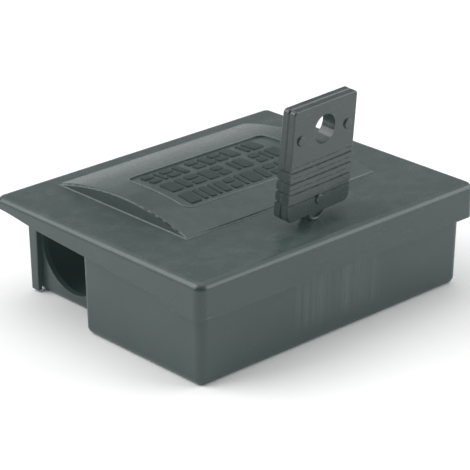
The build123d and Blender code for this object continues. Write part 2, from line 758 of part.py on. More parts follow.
# ---- bait rods, each with two blocks ----
for side, side_name in ((-1, "left"), (1, "right")):
    with BuildPart() as bait_rod:
        rod_start = (side * rod_x, rod_front_y - fork_wall / 2 - moving_gap, rod_z)
        bend_y = rod_back_y + fork_wall / 2 + moving_gap + rod_bend_r
        with BuildLine():
            run = FilletPolyline(
                rod_start,
                (side * rod_x, bend_y, rod_z),
                (side * rod_x, bend_y, rod_z + rod_upstand),
                radius=rod_bend_r,
            )
        with BuildSketch(Plane(origin=run @ 0, z_dir=run % 0)):
            Circle(rod_r)
        sweep()
    save(bait_rod, f"bait_rod_{side_name}")
    for step, step_name in ((-0.5, "front"), (0.5, "back")):
        with BuildPart() as bait_block:
            middle_y = block_y + step * block_step
            with BuildSketch(Plane.XZ.offset(-middle_y - block_length / 2)):
                with Locations((side * rod_x, rod_z)):
                    RectangleRounded(block_width, block_height, block_groove)
                    Circle(rod_r + rod_gap, mode=Mode.SUBTRACT)
                for turn in (-1, 1):
                    with Locations((side * rod_x + turn * block_width / 2, rod_z)):
                        Circle(block_groove, mode=Mode.SUBTRACT)
                    with Locations((side * rod_x, rod_z + turn * block_height / 2)):
                        Circle(block_groove, mode=Mode.SUBTRACT)
            extrude(amount=block_length)
            ends = bait_block.faces().filter_by(Axis.Y)
            chamfer(ends.edges().filter_by(GeomType.LINE), block_bevel)
        save(bait_block, f"bait_block_{side_name}_{step_name}")
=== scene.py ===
"""Looks of a mouse bait station: finishes, panel relief, bait blocks, studio and camera."""

import logging
import math
import random
from dataclasses import dataclass
from enum import Enum

import bmesh
import bpy
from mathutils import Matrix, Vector, noise


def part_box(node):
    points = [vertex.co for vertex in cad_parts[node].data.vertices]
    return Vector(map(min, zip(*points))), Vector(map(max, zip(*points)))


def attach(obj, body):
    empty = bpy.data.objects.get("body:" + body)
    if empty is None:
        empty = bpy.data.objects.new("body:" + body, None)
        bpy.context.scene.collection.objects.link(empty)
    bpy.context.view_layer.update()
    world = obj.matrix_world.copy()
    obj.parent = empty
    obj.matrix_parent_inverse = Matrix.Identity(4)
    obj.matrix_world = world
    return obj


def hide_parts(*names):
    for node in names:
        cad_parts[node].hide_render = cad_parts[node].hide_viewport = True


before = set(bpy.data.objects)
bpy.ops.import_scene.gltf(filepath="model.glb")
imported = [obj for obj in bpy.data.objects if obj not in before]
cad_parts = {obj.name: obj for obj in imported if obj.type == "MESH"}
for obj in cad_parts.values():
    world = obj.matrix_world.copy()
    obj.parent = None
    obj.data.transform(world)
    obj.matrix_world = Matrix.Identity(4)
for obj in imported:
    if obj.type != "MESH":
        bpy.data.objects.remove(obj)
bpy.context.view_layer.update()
LOG = logging.getLogger("bait_station")
MM = 0.001
Triple = tuple[float, float, float]
Colour = Triple
Socket = bpy.types.NodeSocket
Material = bpy.types.Material
Piece = bpy.types.Object
MeshData = bmesh.types.BMesh


# ---------------------------------------------------------------- shader helpers
class Shade:
    """Adds and joins the nodes of one shader tree."""

    def __init__(self, tree: bpy.types.NodeTree) -> None:
        """Keeps the tree that the nodes go into.

        Args:
            tree: A material's node tree, or a node group.
        """
        self.tree = tree

    def feed(self, socket: Socket, value: object) -> None:
        """Links a socket to another one, or sets its value.

        Args:
            socket: The input to feed.
            value: An output socket to link from, or a plain value.
        """
        if isinstance(value, Socket):
            self.tree.links.new(value, socket)
        elif isinstance(value, tuple) and socket.type == "RGBA" and len(value) == 3:
            socket.default_value = (*value, 1.0)
        else:
            socket.default_value = value

    def add(
        self, kind: str, values: dict[str, object] | None = None, **options: object
    ) -> bpy.types.Node:
        """Adds a node.

        Args:
            kind: The node's type, without its ShaderNode prefix.
            values: Inputs by name, each a socket or a plain value.
            **options: Settings of the node itself.

        Returns:
            The new node.
        """
        node = self.tree.nodes.new(f"ShaderNode{kind}")
        for name, option in options.items():
            setattr(node, name, option)
        for name, value in (values or {}).items():
            self.feed(node.inputs[name], value)
        return node

    def math(self, operation: str, first: object, second: object = 0.0) -> Socket:
        """Adds a Math node.

        Args:
            operation: The node's operation.
            first: Its first input.
            second: Its second input.

        Returns:
            The result's socket.
        """
        node = self.add("Math", operation=operation)
        self.feed(node.inputs[0], first)
        self.feed(node.inputs[1], second)
        return node.outputs[0]

    def plus(self, first: object, second: object) -> Socket:
        """Adds two values.

        Args:
            first: A socket or a plain value.
            second: A socket or a plain value.

        Returns:
            The sum's socket.
        """
        return self.math("ADD", first, second)

    def times(self, first: object, second: object) -> Socket:
        """Multiplies two values.

        Args:
            first: A socket or a plain value.
            second: A socket or a plain value.

        Returns:
            The product's socket.
        """
        return self.math("MULTIPLY", first, second)

    def dot(self, first: object, second: object) -> Socket:
        """Takes the dot product of two vectors.

        Args:
            first: A socket or a plain vector.
            second: A socket or a plain vector.

        Returns:
            The product's socket.
        """
        node = self.add("VectorMath", operation="DOT_PRODUCT")
        self.feed(node.inputs[0], first)
        self.feed(node.inputs[1], second)
        return node.outputs["Value"]

    def bump(self, height: object, strength: float, distance: float) -> Socket:
        """Turns a height into a normal.

        Args:
            height: The height's socket.
            strength: Share of the height that is used.
            distance: Depth of the relief, in metres.

        Returns:
            The normal's socket.
        """
        values = {"Height": height, "Strength": strength, "Distance": distance}
        return self.add("Bump", values).outputs["Normal"]

    def cover(self, shader: bpy.types.Node) -> None:
        """Joins a shader to the material's output.

        Args:
            shader: The shader node.
        """
        outlet = self.add("OutputMaterial")
        self.feed(outlet.inputs["Surface"], shader.outputs["BSDF"])

    def span(
        self, value: object, low: float, high: float, to: tuple[float, float] = (0.0, 1.0)
    ) -> Socket:
        """Maps a value from one range to another, held inside it.

        Args:
            value: The socket to map.
            low: Start of the range that is read.
            high: End of the range that is read.
            to: The range that is given back.

        Returns:
            The mapped value's socket.
        """
        values = {
            "Value": value,
            "From Min": low,
            "From Max": high,
            "To Min": to[0],
            "To Max": to[1],
        }
        return self.add("MapRange", values, clamp=True).outputs["Result"]

    def mix(self, factor: object, first: object, second: object) -> Socket:
        """Mixes two colours.

        Args:
            factor: Share of the second colour.
            first: Colour at factor 0.
            second: Colour at factor 1.

        Returns:
            The mixed colour's socket.
        """
        node = self.add("Mix", data_type="RGBA")
        factor_in = next(s for s in node.inputs if s.identifier == "Factor_Float")
        first_in = next(s for s in node.inputs if s.identifier == "A_Color")
        second_in = next(s for s in node.inputs if s.identifier == "B_Color")
        for socket, value in ((factor_in, factor), (first_in, first), (second_in, second)):
            self.feed(socket, value)
        return next(s for s in node.outputs if s.identifier == "Result_Color")

    def place(self) -> Socket:
        """Gives the position on the piece, which stays with the piece as it moves.

        Returns:
            The position's socket, in metres.
        """
        return self.add("TexCoord").outputs["Object"]

    def grain(
        self, scale: object, detail: float = 2.0, vector: object = None
    ) -> Socket:
        """Adds a noise texture.

        Args:
            scale: Features per metre.
            detail: Octaves.
            vector: Where the noise is read; the piece's own position if None.

        Returns:
            The noise's value, about 0.5.
        """
        where = self.place() if vector is None else vector
        values = {"Vector": where, "Scale": scale, "Detail": detail}
        return self.add("TexNoise", values).outputs["Fac"]

    def stretched(self, turn: Triple, scale: Triple) -> Socket:
        """Turns and stretches the piece's own position.

        Args:
            turn: Angles about x, y and z, in radians.
            scale: Stretch along x, y and z.

        Returns:
            The mapped position's socket.
        """
        values = {"Vector": self.place(), "Rotation": turn, "Scale": scale}
        return self.add("Mapping", values).outputs["Vector"]


def start_material(name: str) -> tuple[Material, Shade]:
    """Makes a material with no nodes in it.

    Args:
        name: The material's name.

    Returns:
        The material and its nodes.
    """
    material = bpy.data.materials.new(name)
    material.use_nodes = True
    material.node_tree.nodes.clear()
    return material, Shade(material.node_tree)


class Effect(Enum):
    """Surface effects that more than one finish uses."""

    EDGE_WEAR = "edge wear"
    MOULD_GRAIN = "mould grain"
    HAIRLINES = "hairlines"
    DUST = "dust"
    MOTTLE = "mottle"


class Effects:
    """Builds each shared effect once, as a node group, and places it in materials."""

    def __init__(self) -> None:
        """Starts with no group built."""
        self.groups: dict[Effect, bpy.types.NodeTree] = {}

    def place(self, shade: Shade, effect: Effect, **values: float) -> Socket:
        """Places an effect in a material.

        Args:
            shade: The material's nodes.
            effect: Which effect.
            **values: The group's inputs by name.

        Returns:
            The effect's mask, height or factor.
        """
        if effect not in self.groups:
            self.groups[effect] = self.build(effect)
        node = shade.add("Group")
        node.node_tree = self.groups[effect]
        for name, value in values.items():
            node.inputs[name.replace("_", " ").capitalize()].default_value = value
        return node.outputs[0]

    def build(self, effect: Effect) -> bpy.types.NodeTree:
        """Builds the group of an effect.

        Args:
            effect: Which effect.

        Returns:
            The finished node group.
        """
        recipes = {
            Effect.EDGE_WEAR: (("Radius", "Breakup", "Amount"), "Mask", self.edge_wear),
            Effect.MOULD_GRAIN: (("Scale",), "Height", self.mould_grain),
            Effect.HAIRLINES: (("Scale", "Amount"), "Mask", self.hairlines),
            Effect.DUST: (("Scale", "Amount"), "Mask", self.dust),
            Effect.MOTTLE: (("Scale",), "Factor", self.mottle),
        }
        names, result, recipe = recipes[effect]
        tree = bpy.data.node_groups.new(effect.value, "ShaderNodeTree")
        for name in names:
            tree.interface.new_socket(name=name, in_out="INPUT", socket_type="NodeSocketFloat")
        tree.interface.new_socket(name=result, in_out="OUTPUT", socket_type="NodeSocketFloat")
        shade = Shade(tree)
        inlet = tree.nodes.new("NodeGroupInput")
        outlet = tree.nodes.new("NodeGroupOutput")
        shade.feed(outlet.inputs[result], recipe(shade, inlet.outputs))
        return tree

    def edge_wear(self, shade: Shade, inputs: bpy.types.NodeInputs) -> Socket:
        """Mask of edges, lightened as wear and, where set strong, as painted highlight: where a
        rounded normal leaves the true one, broken up by noise.
        """
        rounded = shade.add("Bevel", {"Radius": inputs["Radius"]}, samples=4).outputs["Normal"]
        true = shade.add("NewGeometry").outputs["Normal"]
        flat, sharp = 0.995, 0.86
        edge = shade.span(shade.dot(rounded, true), flat, sharp)
        kept, gone = 0.38, 0.62
        broken = shade.span(shade.grain(inputs["Breakup"], 3.0), kept, gone)
        return shade.times(shade.times(edge, broken), inputs["Amount"])

    def mould_grain(self, shade: Shade, inputs: bpy.types.NodeInputs) -> Socket:
        """Height of a fine moulded surface, with a slower unevenness under it."""
        fine = shade.grain(inputs["Scale"], 3.0)
        slowness = 0.12
        slow = shade.grain(shade.times(inputs["Scale"], slowness), 2.0)
        return shade.plus(shade.times(fine, 0.5), slow)

    def hairlines(self, shade: Shade, inputs: bpy.types.NodeInputs) -> Socket:
        """Mask of sparse fine scratches that run two ways."""
        runs = (0.45, -0.95)
        stretch = (1.0, 26.0, 8.0)
        half_wide = 0.012
        patchiness, bare, marked = 1.7, 0.5, 0.72
        marks = None
        for turn in runs:
            where = shade.stretched((turn / 2, turn / 3, turn), stretch)
            wave = shade.grain(inputs["Scale"], 2.0, where)
            off = shade.math("ABSOLUTE", shade.math("SUBTRACT", wave, 0.5))
            thin = shade.span(off, half_wide, 0.0)
            marks = thin if marks is None else shade.math("MAXIMUM", marks, thin)
        patches = shade.grain(shade.times(inputs["Scale"], patchiness), 1.0)
        patch = shade.span(patches, bare, marked)
        return shade.times(shade.times(marks, patch), inputs["Amount"])

    def dust(self, shade: Shade, inputs: bpy.types.NodeInputs) -> Socket:
        """Mask of dust and specks on the faces that look up."""
        speck_scale, speck_edge, speck_core = 420.0, 0.085, 0.05
        thinning_scale, thin_from, thin_to = 90.0, 0.55, 0.6
        normal = shade.add("TexCoord").outputs["Normal"]
        up = shade.add("SeparateXYZ", {"Vector": normal}).outputs["Z"]
        facing = shade.span(up, 0.55, 0.95)
        film = shade.span(shade.grain(inputs["Scale"], 4.0), 0.42, 0.8)
        cells = shade.add("TexVoronoi", {"Vector": shade.place(), "Scale": speck_scale})
        spots = shade.span(cells.outputs["Distance"], speck_edge, speck_core)
        thinned = shade.span(shade.grain(thinning_scale, 1.0), thin_from, thin_to)
        both = shade.plus(film, shade.times(spots, thinned))
        return shade.times(shade.times(both, facing), inputs["Amount"])

    def mottle(self, shade: Shade, inputs: bpy.types.NodeInputs) -> Socket:
        """Slow variation of colour and gloss, between 0 and 1."""
        broad = shade.grain(inputs["Scale"], 3.0)
        drawn_out = shade.stretched((0.2, 0.1, 0.5), (0.5, 3.0, 1.5))
        streak = shade.grain(inputs["Scale"], 2.0, drawn_out)
        return shade.span(shade.plus(broad, streak), 0.7, 1.3)


EFFECTS = Effects()


# ---------------------------------------------------------------- finishes
WEAR_BREAKUP = 420.0
SCRATCH_SCALE = 70.0
SCRATCH_DEPTH = 0.8
SCRATCH_DULLS = 0.2
DUST_SCALE = 150.0
DUST_DULLS = 0.35
TOOL_LINE_SCALE = 520.0
TOOL_LINE_STRETCH = (1.0, 1.0, 16.0)
TOOL_LINE_DEPTH = 0.5


@dataclass(frozen=True)
class WallStreaks:
    """Upright streaks, lighter, raised and glossier, on the middle of the tray's front wall, in
    millimetres.
    """

    middle_x: float = 0.8
    half_wide: tuple[float, float] = (20.8, 19.8)
    wall_y: tuple[float, float] = (-46.0, -47.0)
    foot_z: tuple[float, float] = (5.0, 9.5)
    squash: float = 0.04
    scale: float = 330.0
    band: tuple[float, float] = (0.34, 0.66)
    depth: float = 4.2
    dulls: float = -0.1
    shows: float = 0.3

    def mask(self, shade: Shade) -> Socket:
        """Draws the marks.

        Args:
            shade: The material's nodes.

        Returns:
            The mask's socket.
        """
        parts = shade.add("SeparateXYZ", {"Vector": shade.place()}).outputs
        off = shade.math("SUBTRACT", parts["X"], self.middle_x * MM)
        across = shade.math("ABSOLUTE", off)
        inside = shade.span(across, self.half_wide[0] * MM, self.half_wide[1] * MM)
        front = shade.span(parts["Y"], self.wall_y[0] * MM, self.wall_y[1] * MM)
        low = shade.span(parts["Z"], self.foot_z[0] * MM, self.foot_z[1] * MM)
        squashed = shade.times(parts["Z"], self.squash)
        upright = shade.add("CombineXYZ", {"X": parts["X"], "Z": squashed})
        band = shade.span(shade.grain(self.scale, 2.0, upright.outputs["Vector"]), *self.band)
        region = shade.times(shade.times(inside, front), low)
        return shade.times(band, region)


class Mark(Enum):
    """Marks that one moulding alone carries."""

    NONE = "none"
    WALL_STREAKS = "streaks down the front wall"
    TOOL_LINES = "fine lines of the mould's tool"


@dataclass(frozen=True)
class MouldedPlastic:
    """A moulded plastic, with its tone, gloss, grain, wear and dust."""

    name: str
    colour: Colour
    worn: Colour
    roughness: float
    gloss_spread: float = 0.025
    tone_spread: float = 0.05
    tone_scale: float = 38.0
    grain_scale: float = 2600.0
    grain_depth: float = 0.035
    edge: float = 0.5
    edge_radius: float = 0.5
    scratches: float = 0.5
    dust: float = 0.25
    coat: float = 0.0
    specular: float = 0.5
    mark: Mark = Mark.NONE

    def build(self) -> Material:
        """Builds the material.

        Returns:
            The material.
        """
        material, shade = start_material(self.name)
        dark = tuple(c * (1.0 - self.tone_spread) for c in self.colour)
        light = tuple(c * (1.0 + self.tone_spread) for c in self.colour)
        tone = EFFECTS.place(shade, Effect.MOTTLE, scale=self.tone_scale)
        wear = EFFECTS.place(
            shade,
            Effect.EDGE_WEAR,
            radius=self.edge_radius * MM,
            breakup=WEAR_BREAKUP,
            amount=self.edge,
        )
        lines = EFFECTS.place(
            shade, Effect.HAIRLINES, scale=SCRATCH_SCALE, amount=self.scratches
        )
        film = EFFECTS.place(shade, Effect.DUST, scale=DUST_SCALE, amount=self.dust)
        grain = EFFECTS.place(shade, Effect.MOULD_GRAIN, scale=self.grain_scale)
        wear_and_painted_highlight = shade.math("MAXIMUM", wear, lines)
        colour = shade.mix(tone, dark, light)
        colour = shade.mix(wear_and_painted_highlight, colour, self.worn)
        colour = shade.mix(film, colour, DUST_COLOUR)
        dull, bright = self.roughness + self.gloss_spread, self.roughness - self.gloss_spread
        gloss = shade.span(tone, 0.0, 1.0, (dull, bright))
        gloss = shade.plus(gloss, shade.times(film, DUST_DULLS))
        gloss = shade.plus(gloss, shade.times(lines, SCRATCH_DULLS))
        height = shade.math("SUBTRACT", grain, shade.times(lines, SCRATCH_DEPTH))
        if self.mark is Mark.WALL_STREAKS:
            marks = WallStreaks()
            streaks = marks.mask(shade)
            height = shade.plus(height, shade.times(streaks, marks.depth))
            gloss = shade.plus(gloss, shade.times(streaks, marks.dulls))
            colour = shade.mix(shade.times(streaks, marks.shows), colour, self.worn)
        elif self.mark is Mark.TOOL_LINES:
            milled = shade.stretched((0.0, 0.0, 0.0), TOOL_LINE_STRETCH)
            lines_cut = shade.grain(TOOL_LINE_SCALE, 2.0, milled)
            height = shade.plus(height, shade.times(lines_cut, TOOL_LINE_DEPTH))
        shader = shade.add(
            "BsdfPrincipled",
            {
                "Base Color": colour,
                "Roughness": gloss,
                "Normal": shade.bump(height, 1.0, self.grain_depth * MM),
                "Coat Weight": self.coat,
                "Specular IOR Level": self.specular,
            },
        )
        shade.cover(shader)
        return material


@dataclass(frozen=True)
class PlatedSteel:
    """Drawn or turned steel with a plated surface."""

    name: str
    colour: Colour
    roughness: float
    along: Triple
    drawn_scale: float = 1800.0
    bloom_scale: float = 160.0
    edge_radius: float = 0.15
    breakup: float = 900.0
    edge: float = 0.6
    dull: float = 0.72
    bright: float = 1.25
    gloss_spread: tuple[float, float] = (-0.08, 0.12)
    depth: float = 0.01

    def build(self) -> Material:
        """Builds the material.

        Returns:
            The material.
        """
        material, shade = start_material(self.name)
        drawn = shade.grain(self.drawn_scale, 3.0, shade.stretched((0.0, 0.0, 0.0), self.along))
        bloom = EFFECTS.place(shade, Effect.MOTTLE, scale=self.bloom_scale)
        wear = EFFECTS.place(
            shade,
            Effect.EDGE_WEAR,
            radius=self.edge_radius * MM,
            breakup=self.breakup,
            amount=self.edge,
        )
        dull = tuple(c * self.dull for c in self.colour)
        bright = tuple(min(1.0, c * self.bright) for c in self.colour)
        colour = shade.mix(bloom, dull, self.colour)
        colour = shade.mix(wear, colour, bright)
        ends = tuple(self.roughness + spread for spread in self.gloss_spread)
        gloss = shade.span(drawn, 0.3, 0.7, ends)
        shader = shade.add(
            "BsdfPrincipled",
            {
                "Base Color": colour,
                "Roughness": gloss,
                "Normal": shade.bump(drawn, 0.5, self.depth * MM),
                "Metallic": 1.0,
            },
        )
        shade.cover(shader)
        return material


@dataclass(frozen=True)
class BaitWax:
    """Wax that binds crushed grain."""

    name: str
    wax: Colour
    grain: Colour
    husk: Colour
    cell_scale: float = 560.0
    grain_picked: tuple[float, float] = (0.62, 0.66)
    husk_picked: tuple[float, float] = (0.86, 0.88)
    tone_scale: float = 210.0
    pale_gain: float = 1.35
    pale_lift: float = 0.02
    edge_radius: float = 0.5
    breakup: float = 700.0
    edge: float = 0.5
    gloss: tuple[float, float] = (0.62, 0.44)
    crumb_scale: float = 2400.0
    crumb_depth: float = 0.22
    glow: float = 0.12
    glow_depth: float = 1.2

    def build(self) -> Material:
        """Builds the material.

        Returns:
            The material.
        """
        material, shade = start_material(self.name)
        cells = shade.add(
            "TexVoronoi", {"Vector": shade.place(), "Scale": self.cell_scale, "Randomness": 1.0}
        )
        pick = shade.add("SeparateColor", {"Color": cells.outputs["Color"]}).outputs
        body = shade.span(cells.outputs["Distance"], 0.5, 0.25)
        kernels = shade.times(body, shade.span(pick["Red"], *self.grain_picked))
        flakes = shade.times(body, shade.span(pick["Green"], *self.husk_picked))
        tone = EFFECTS.place(shade, Effect.MOTTLE, scale=self.tone_scale)
        pale = tuple(min(1.0, c * self.pale_gain + self.pale_lift) for c in self.wax)
        colour = shade.mix(tone, self.wax, pale)
        colour = shade.mix(kernels, colour, self.grain)
        colour = shade.mix(flakes, colour, self.husk)
        wear_and_painted_highlight = EFFECTS.place(
            shade,
            Effect.EDGE_WEAR,
            radius=self.edge_radius * MM,
            breakup=self.breakup,
            amount=self.edge,
        )
        colour = shade.mix(wear_and_painted_highlight, colour, pale)
        gloss = shade.span(tone, 0.0, 1.0, self.gloss)
        height = shade.plus(shade.times(body, 0.7), shade.grain(self.crumb_scale, 3.0))
        shader = shade.add(
            "BsdfPrincipled",
            {
                "Base Color": colour,
                "Roughness": gloss,
                "Normal": shade.bump(height, 0.9, self.crumb_depth * MM),
                "Subsurface Weight": self.glow,
                "Subsurface Scale": self.glow_depth * MM,
            },
        )
        shade.cover(shader)
        return material


DUST_COLOUR: Colour = (0.33, 0.35, 0.34)
SLATE: Colour = (0.033, 0.050, 0.048)
SLATE_WORN: Colour = (0.12, 0.145, 0.14)
LID_FINISH = MouldedPlastic("lid plastic", SLATE, SLATE_WORN, 0.26, scratches=0.2, dust=0.06)
TRAY_FINISH = MouldedPlastic(
    "tray plastic",
    (0.037, 0.056, 0.054),
    SLATE_WORN,
    0.36,
    tone_scale=30.0,
    scratches=0.25,
    dust=0.08,
    mark=Mark.WALL_STREAKS,
)
# Painted shade: the raised strokes are coloured darker than the lid they stand on, standing in for
# shade on them; their strong edge wear paints lighter outlines, partly wear and partly painted
# highlight.
RELIEF_SHADE_FINISH = MouldedPlastic(
    "relief plastic with painted shade",
    (0.014, 0.024, 0.023),
    (0.10, 0.125, 0.12),
    0.46,
    edge=0.8,
    edge_radius=0.16,
    scratches=0.2,
    dust=0.03,
    specular=0.3,
)
# Painted highlight: the bead round the panel and the arch's fillet are coloured about twice as
# light as the lid, standing in for the bright lines that light draws along them.
BEAD_HIGHLIGHT_FINISH = MouldedPlastic(
    "rubbed plastic",
    (0.068, 0.094, 0.090),
    (0.13, 0.155, 0.15),
    0.26,
    edge=0.8,
    edge_radius=0.2,
    dust=0.05,
)
# Painted highlight: the rims of the key's tongue are coloured lighter than the key, standing in
# for the light they catch.
RIM_HIGHLIGHT_FINISH = MouldedPlastic(
    "rim plastic with painted highlight",
    (0.085, 0.112, 0.108),
    (0.15, 0.175, 0.17),
    0.22,
    edge=0.5,
    edge_radius=0.2,
    dust=0.05,
)
KEY_FINISH = MouldedPlastic(
    "key plastic",
    (0.019, 0.030, 0.029),
    (0.13, 0.155, 0.15),
    0.24,
    tone_scale=70.0,
    grain_depth=0.016,
    # Edge wear set strong here paints highlights along the key's edges as well as wear.
    edge=0.85,
    edge_radius=0.3,
    scratches=0.35,
    dust=0.08,
    coat=0.15,
    mark=Mark.TOOL_LINES,
)
LOCK_FINISH = MouldedPlastic(
    "lock acetal",
    (0.017, 0.018, 0.019),
    (0.09, 0.09, 0.09),
    0.32,
    grain_depth=0.015,
    edge_radius=0.25,
)
DISH_FINISH = MouldedPlastic(
    "dish plastic", (0.038, 0.048, 0.048), (0.11, 0.12, 0.12), 0.36, dust=0.5, mark=Mark.TOOL_LINES
)
ROD_FINISH = PlatedSteel("rod steel", (0.62, 0.63, 0.64), 0.30, (1.0, 0.05, 1.0))
PIN_FINISH = PlatedSteel("pin steel", (0.60, 0.61, 0.62), 0.32, (0.05, 1.0, 1.0))
SPRING_FINISH = PlatedSteel("spring steel", (0.52, 0.53, 0.55), 0.22, (1.0, 0.2, 1.0))
BAIT_FINISH = BaitWax("bait wax", (0.028, 0.155, 0.27), (0.36, 0.27, 0.13), (0.52, 0.44, 0.28))


# ---------------------------------------------------------------- mesh helpers
def dress(names: tuple[str, ...], material: Material) -> None:
    """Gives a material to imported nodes.

    Args:
        names: The nodes.
        material: The finish that replaces the plain one.
    """
    for name in names:
        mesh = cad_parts[name].data
        mesh.materials.clear()
        mesh.materials.append(material)
        LOG.info("dressed %s in %s", name, material.name)


def new_piece(name: str, mesh_data: MeshData, material: Material, crease: float) -> Piece:
    """Makes an object from mesh data.

    Args:
        name: The piece's name.
        mesh_data: Its geometry, which is freed.
        material: Its finish.
        crease: Angle in degrees above which an edge is shaded sharp.

    Returns:
        The linked object.
    """
    bmesh.ops.recalc_face_normals(mesh_data, faces=mesh_data.faces)
    mesh = bpy.data.meshes.new(name)
    mesh_data.to_mesh(mesh)
    mesh_data.free()
    mesh.polygons.foreach_set("use_smooth", [True] * len(mesh.polygons))
    mesh.set_sharp_from_angle(angle=math.radians(crease))
    mesh.materials.append(material)
    piece = bpy.data.objects.new(name, mesh)
    bpy.context.scene.collection.objects.link(piece)
    LOG.info("built %s with %d faces", name, len(mesh.polygons))
    return piece


def join_rings(
    mesh_data: MeshData, rings: list[list[bmesh.types.BMVert]], closed: bool
) -> None:
    """Joins rings of equal length with quads.

    Args:
        mesh_data: The mesh that holds them.
        rings: The rings, in order.
        closed: Whether the last ring joins the first.
    """
    pairs = list(zip(rings, rings[1:]))
    if closed:
        pairs.append((rings[-1], rings[0]))
    for lower, upper in pairs:
        for at in range(len(lower)):
            after = (at + 1) % len(lower)
            mesh_data.faces.new((lower[at], lower[after], upper[after], upper[at]))


def corner_centres(low: Vector, high: Vector, corner: float) -> tuple[Vector, ...]:
    """Centres of a rounded rectangle's corners.

    Args:
        low: Its lowest corner.
        high: Its highest corner.
        corner: Radius of its corners.

    Returns:
        The centres, in order round it.
    """
    return (
        Vector((high.x - corner, low.y + corner)),
        Vector((high.x - corner, high.y - corner)),
        Vector((low.x + corner, high.y - corner)),
        Vector((low.x + corner, low.y + corner)),
    )


# ---------------------------------------------------------------- lid
class Cell(Enum):
    """Plain groups of raised strokes; none of them is a letter."""

    NARROW = ((0.0, 0.0, 0.36, 1.0),)
    BLOCK = ((0.0, 0.0, 0.66, 1.0),)
    WIDE = ((0.0, 0.0, 1.15, 1.0),)
    PAIR = ((0.0, 0.0, 1.0, 0.42), (0.0, 0.58, 1.0, 1.0))


@dataclass(frozen=True)
class PanelCurve:
    """The curve across the arch that its sunk panel follows, in millimetres."""

    crown: float
    chord: float = 65.8
    bow: float = 4.7
    middle_y: float = 11.4

    def height(self, y: float, above: float) -> float:
        """Height of a place over the arch.

        Args:
            y: Place across the arch.
            above: How far it stands above the curve.

        Returns:
            Height above the ground.
        """
        radius = (self.chord**2 / 4 + self.bow**2) / (2 * self.bow)
        rise = math.sqrt((radius + above) ** 2 - (y - self.middle_y) ** 2)
        return self.crown - radius + rise


@dataclass
class PanelRelief:
    """Three rows of raised strokes that follow the curve of the lid's sunk panel."""

    curve: PanelCurve
    sunk: float = 0.5
    left: float = -26.5
    right: float = 30.5
    rows: tuple[float, ...] = (17.5, 7.5, -2.5)
    tall: float = 7.4
    cell: float = 4.6
    gap: float = 1.2
    stand: float = 0.46
    root: float = 0.12
    corner: float = 0.6
    least_corner: float = 0.12
    corner_steps: int = 3
    side_steps: int = 6
    profile: tuple[tuple[float, float], ...] = (
        (0.03, 0.55),
        (0.09, 0.86),
        (0.2, 0.97),
        (0.34, 1.0),
    )
    ragged: float = 1.5
    least_wide: float = 0.6
    spread: tuple[float, float] = (0.86, 1.12)
    break_chance: float = 0.14
    break_wide: float = 1.6
    crease: float = 40.0
    seed: int = 11

    def outline(self, low: Vector, high: Vector, inset: float) -> list[Vector]:
        """Rounded outline of a stroke, with points close enough along y to follow the curve.

        Args:
            low: Its lowest corner.
            high: Its highest corner.
            inset: How far inside the corners it is drawn.

        Returns:
            Points in order.
        """
        corner = max(self.corner - inset, self.least_corner)
        low, high = low + Vector((inset, inset)), high - Vector((inset, inset))
        centres = corner_centres(low, high, corner)
        points = []
        for quarter, centre in enumerate(centres):
            for step in range(self.corner_steps + 1):
                turn = math.radians(90.0 * quarter - 90.0 + 90.0 / self.corner_steps * step)
                points.append(centre + corner * Vector((math.cos(turn), math.sin(turn))))
            following = centres[(quarter + 1) % 4]
            if abs(following.y - centre.y) > abs(following.x - centre.x):
                end_turn = math.radians(90.0 * quarter)
                start = points[-1]
                end = following + corner * Vector((math.cos(end_turn), math.sin(end_turn)))
                shares = (step / self.side_steps for step in range(1, self.side_steps))
                points.extend(start.lerp(end, share) for share in shares)
        return points

    def add_stroke(self, mesh_data: MeshData, low: Vector, high: Vector) -> None:
        """Adds one stroke with drafted sides and a softened top edge.

        Args:
            mesh_data: The mesh it goes into.
            low: Its lowest corner, in millimetres.
            high: Its highest corner, in millimetres.
        """
        profile = [(0.0, -self.root)]
        profile += [(inset, self.stand * share) for inset, share in self.profile]
        rings = []
        for inset, stand in profile:
            ring = []
            for point in self.outline(low, high, inset):
                level = self.curve.height(point.y, stand - self.sunk)
                place = Vector((point.x, point.y, level))
                ring.append(mesh_data.verts.new(place * MM))
            rings.append(ring)
        join_rings(mesh_data, rings, closed=False)
        top = mesh_data.faces.new(rings[-1])
        base = mesh_data.faces.new(list(reversed(rings[0])))
        bmesh.ops.triangulate(mesh_data, faces=[top, base])

    def build(self, material: Material) -> Piece:
        """Builds the three rows.

        Args:
            material: Their finish.

        Returns:
            The relief, riding on the lid.
        """
        draw = random.Random(self.seed)
        mesh_data = bmesh.new()
        for middle in self.rows:
            at = self.left + draw.uniform(0.0, self.ragged)
            previous = None
            while at < self.right - self.cell * self.least_wide:
                kind = draw.choice([cell for cell in Cell if cell is not previous])
                previous = kind
                wide = self.cell * draw.uniform(*self.spread)
                wide = min(wide, self.right - at)
                for x0, y0, x1, y1 in kind.value:
                    low = Vector((at + wide * x0, middle + self.tall * (y0 - 0.5)))
                    high = Vector((at + wide * x1, middle + self.tall * (y1 - 0.5)))
                    self.add_stroke(mesh_data, low, high)
                used = max(stroke[2] for stroke in kind.value)
                at += wide * used + self.gap
                if draw.random() < self.break_chance:
                    at += self.gap * self.break_wide
        relief = new_piece("panel_relief", mesh_data, material, self.crease)
        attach(relief, "lid")
        return relief


